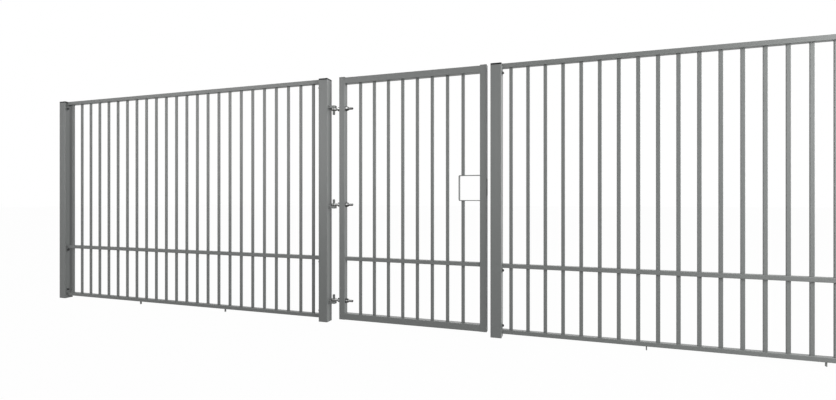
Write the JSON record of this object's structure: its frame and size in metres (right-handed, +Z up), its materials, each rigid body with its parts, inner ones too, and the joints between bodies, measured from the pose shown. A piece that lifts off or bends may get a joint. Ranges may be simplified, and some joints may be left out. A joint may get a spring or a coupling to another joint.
{
  "type": "swing gate",
  "caption": "Single swing gate of square steel tube with upright bars, hung on adjustable eye-bolt hinges between two posts, with a whole fence bay on each side.",
  "frame": {"origin": "middle of the hinge post's foot, at ground level", "axes": "+X along the fence from the hinge post to the latch post, +Y to the back, +Z up"},
  "size_m": [7.438, 0.08, 1.99],
  "materials": {
    "post_paint": "mid grey powder coat, semi-gloss, slight orange peel",
    "fence_paint": "mid grey powder coat, semi-gloss",
    "leaf_paint": "mid grey powder coat, semi-gloss",
    "hinge_paint": "mid grey powder coat over welded steel",
    "zinc": "bright zinc plating, satin",
    "grey_plastic": "moulded grey plastic, matt",
    "black_plastic": "moulded black plastic, fine grain",
    "black_steel": "black coated bolts and washers, semi-matt"
  },
  "bodies": {
    "fence": {"hinge_post": "post_paint", "hinge_post_cap": "black_plastic", "latch_post": "post_paint", "latch_post_cap": "black_plastic", "left_end_post": "post_paint", "left_end_post_cap": "black_plastic", "right_end_post": "post_paint", "right_end_post_cap": "black_plastic", "left_fence_panel": "fence_paint", "right_fence_panel": "fence_paint", "left_panel_fixings": "black_steel", "right_panel_fixings": "black_steel", "hinge_lug_bottom": "hinge_paint", "hinge_lug_middle": "hinge_paint", "hinge_lug_top": "hinge_paint", "hinge_pin_bottom": "hinge_paint", "hinge_pin_middle": "hinge_paint", "hinge_pin_top": "hinge_paint"},
    "leaf": {"hinge_stile": "leaf_paint", "latch_stile": "leaf_paint", "hinge_stile_cap": "grey_plastic", "latch_stile_cap": "grey_plastic", "leaf_top_rail": "leaf_paint", "leaf_mid_rail": "leaf_paint", "leaf_bottom_rail": "leaf_paint", "leaf_bar_1": "leaf_paint", "leaf_bar_2": "leaf_paint", "leaf_bar_3": "leaf_paint", "leaf_bar_4": "leaf_paint", "leaf_bar_5": "leaf_paint", "leaf_bar_6": "leaf_paint", "leaf_bar_7": "leaf_paint", "leaf_bar_8_upper": "leaf_paint", "leaf_bar_8_lower": "leaf_paint", "lock_pocket": "leaf_paint", "lock_forend": "leaf_paint", "eye_bolt_bottom": "zinc", "eye_bolt_middle": "zinc", "eye_bolt_top": "zinc", "hinge_nuts_bottom": "zinc", "hinge_nuts_middle": "zinc", "hinge_nuts_top": "zinc", "hinge_washers_bottom": "zinc", "hinge_washers_middle": "zinc", "hinge_washers_top": "zinc"}
  },
  "joints": [
    {"name": "gate_swing", "type": "hinge", "parent": "fence", "child": "leaf", "pos_m": [0.08, 0, 0.958], "axis": [0, 0, 1], "range_deg": [-90, 90]}
  ]
}
